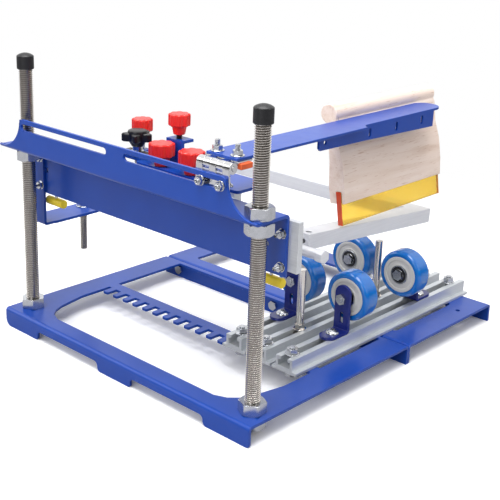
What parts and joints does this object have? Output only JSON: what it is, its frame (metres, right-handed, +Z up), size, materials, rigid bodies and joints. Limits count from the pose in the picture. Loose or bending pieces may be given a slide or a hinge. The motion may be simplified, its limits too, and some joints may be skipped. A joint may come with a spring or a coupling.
{
  "type": "tabletop screen printing press",
  "caption": "Bench screen press for round ware: folded steel base, threaded posts, height-set bridge, sliding screen frame, hinged squeegee and wheels on slotted rails.",
  "frame": {"origin": "on the table under the middle of the front flange's centre foot", "axes": "+X along the front edge to the right, +Y from the front flange to the rear, +Z up"},
  "size_m": [0.372, 0.4, 0.29],
  "materials": {
    "blue_powder_coat": "glossy powder coat",
    "navy_powder_coat": "glossy dark powder coat",
    "stainless_thread": "rolled threads",
    "zinc_fasteners": "bright zinc plate",
    "black_rubber": "matte moulded rubber",
    "black_plastic": "matte moulded plastic",
    "red_plastic": "semi-gloss moulded plastic",
    "yellow_plastic": "soft moulded plastic",
    "orange_rubber": "matte rubber",
    "anodised_aluminium": "clear anodised extrusion",
    "raw_aluminium": "mill finish tube",
    "hinge_steel": "polished",
    "maple_wood": "sanded, oiled",
    "amber_urethane": "clear cast urethane",
    "blue_urethane": "glossy cast urethane",
    "grey_nylon": "moulded hub"
  },
  "bodies": {
    "base": {"front_base_frame": "blue_powder_coat", "rear_base_frame": "blue_powder_coat", "base_joint_bolts": "zinc_fasteners", "left_post": "stainless_thread", "right_post": "stainless_thread", "base_nuts": "zinc_fasteners", "post_caps": "black_rubber", "track_rails": "anodised_aluminium", "rail_screws": "zinc_fasteners"},
    "bridge": {"bridge_beam": "blue_powder_coat", "bridge_nuts": "zinc_fasteners", "slide_rail": "anodised_aluminium", "bridge_screws": "zinc_fasteners", "left_bracket": "blue_powder_coat", "levelling_nuts": "zinc_fasteners", "bumper_mounts": "zinc_fasteners", "slide_bumpers": "yellow_plastic"},
    "levelling_stud": {"levelling_stud": "stainless_thread"},
    "star_knob": {"star_knob": "black_plastic"},
    "rear_red_knob": {"rear_red_knob": "red_plastic"},
    "tall_red_knob": {"tall_red_knob": "red_plastic"},
    "hinge_base": {"hinge_fixed_leaf": "hinge_steel", "hinge_leaf_bolts": "zinc_fasteners", "hinge_pin": "hinge_steel"},
    "arm": {"hinge_moving_leaf": "hinge_steel", "squeegee_arm": "blue_powder_coat", "arm_screws": "zinc_fasteners", "rubber_pad": "orange_rubber"},
    "squeegee": {"squeegee_handle": "maple_wood", "squeegee_blade": "amber_urethane", "squeegee_bolts": "zinc_fasteners"},
    "carriage": {"carriage_block": "anodised_aluminium", "carriage_plate": "blue_powder_coat", "carriage_screws": "zinc_fasteners", "holder_arms": "blue_powder_coat", "tilt_rod": "raw_aluminium", "lock_block": "black_plastic", "knob_bracket": "blue_powder_coat"},
    "left_red_knob": {"left_red_knob": "red_plastic"},
    "right_red_knob": {"right_red_knob": "red_plastic"},
    "screen": {"screen_frame": "raw_aluminium", "frame_clamps": "raw_aluminium"},
    "stop_pin_1": {"stop_pin_1": "stainless_thread"},
    "stop_pin_2": {"stop_pin_2": "stainless_thread"},
    "bracket_1": {"wheel_bracket_1": "navy_powder_coat", "bracket_bolts_1": "zinc_fasteners"},
    "wheel_1": {"wheel_tyre_1": "blue_urethane", "wheel_hub_1": "grey_nylon"},
    "bracket_2": {"wheel_bracket_2": "navy_powder_coat", "bracket_bolts_2": "zinc_fasteners"},
    "wheel_2": {"wheel_tyre_2": "blue_urethane", "wheel_hub_2": "grey_nylon"},
    "bracket_3": {"wheel_bracket_3": "navy_powder_coat", "bracket_bolts_3": "zinc_fasteners"},
    "wheel_3": {"wheel_tyre_3": "blue_urethane", "wheel_hub_3": "grey_nylon"},
    "bracket_4": {"wheel_bracket_4": "navy_powder_coat", "bracket_bolts_4": "zinc_fasteners"},
    "wheel_4": {"wheel_tyre_4": "blue_urethane", "wheel_hub_4": "grey_nylon"}
  },
  "joints": [
    {"name": "bridge_height", "type": "slide", "parent": "base", "child": "bridge", "axis": [0, 0, 1], "range_m": [-0.005, 0.06]},
    {"name": "levelling_stud_height", "type": "slide", "parent": "bridge", "child": "levelling_stud", "axis": [0, 0, 1], "range_m": [-0.002, 0.015]},
    {"name": "screen_slide", "type": "slide", "parent": "bridge", "child": "carriage", "axis": [1, 0, 0], "range_m": [-0.04, 0.04]},
    {"name": "screen_tilt", "type": "hinge", "parent": "carriage", "child": "screen", "pos_m": [0, 0.1385, 0.127], "axis": [1, 0, 0], "range_deg": [-3, 0]},
    {"name": "squeegee_position", "type": "slide", "parent": "bridge", "child": "hinge_base", "axis": [1, 0, 0], "range_m": [-0.03, 0]},
    {"name": "squeegee_lift", "type": "hinge", "parent": "hinge_base", "child": "arm", "pos_m": [0.1125, 0.0145, 0.233], "axis": [1, 0, 0], "range_deg": [0, 100]},
    {"name": "squeegee_height", "type": "slide", "parent": "arm", "child": "squeegee", "axis": [-0.153, 0, 0.9882], "range_m": [0, 0.004]},
    {"name": "star_knob_turn", "type": "hinge", "parent": "carriage", "child": "star_knob", "pos_m": [-0.041, 0.066, 0.22], "axis": [0, 0, 1], "continuous": true},
    {"name": "rear_red_knob_turn", "type": "hinge", "parent": "carriage", "child": "rear_red_knob", "pos_m": [-0.061, 0.09, 0.222], "axis": [0, 0, 1], "continuous": true},
    {"name": "tall_red_knob_turn", "type": "hinge", "parent": "carriage", "child": "tall_red_knob", "pos_m": [0.002, 0.08, 0.24], "axis": [0, 0, 1], "continuous": true},
    {"name": "left_red_knob_turn", "type": "hinge", "parent": "carriage", "child": "left_red_knob", "pos_m": [-0.001, 0.0605, 0.215], "axis": [0, 0, 1], "continuous": true},
    {"name": "right_red_knob_turn", "type": "hinge", "parent": "carriage", "child": "right_red_knob", "pos_m": [0.039, 0.0605, 0.215], "axis": [0, 0, 1], "continuous": true},
    {"name": "bracket_1_slide", "type": "slide", "parent": "base", "child": "bracket_1", "axis": [0, 1, 0], "range_m": [-0.03, 0.03]},
    {"name": "wheel_1_spin", "type": "hinge", "parent": "bracket_1", "child": "wheel_1", "pos_m": [0.063, 0.2, 0.07], "axis": [0, 1, 0], "continuous": true},
    {"name": "bracket_2_slide", "type": "slide", "parent": "base", "child": "bracket_2", "axis": [0, 1, 0], "range_m": [-0.03, 0.03]},
    {"name": "wheel_2_spin", "type": "hinge", "parent": "bracket_2", "child": "wheel_2", "pos_m": [0.063, 0.29, 0.07], "axis": [0, 1, 0], "continuous": true},
    {"name": "bracket_3_slide", "type": "slide", "parent": "base", "child": "bracket_3", "axis": [0, 1, 0], "range_m": [-0.03, 0.03]},
    {"name": "wheel_3_spin", "type": "hinge", "parent": "bracket_3", "child": "wheel_3", "pos_m": [0.127, 0.2, 0.07], "axis": [0, 1, 0], "continuous": true},
    {"name": "bracket_4_slide", "type": "slide", "parent": "base", "child": "bracket_4", "axis": [0, 1, 0], "range_m": [-0.03, 0.03]},
    {"name": "wheel_4_spin", "type": "hinge", "parent": "bracket_4", "child": "wheel_4", "pos_m": [0.127, 0.29, 0.07], "axis": [0, 1, 0], "continuous": true},
    {"name": "stop_pin_1_slide", "type": "slide", "parent": "base", "child": "stop_pin_1", "axis": [0, 1, 0], "range_m": [-0.02, 0.02]},
    {"name": "stop_pin_2_slide", "type": "slide", "parent": "base", "child": "stop_pin_2", "axis": [0, 1, 0], "range_m": [-0.02, 0.02]}
  ]
}
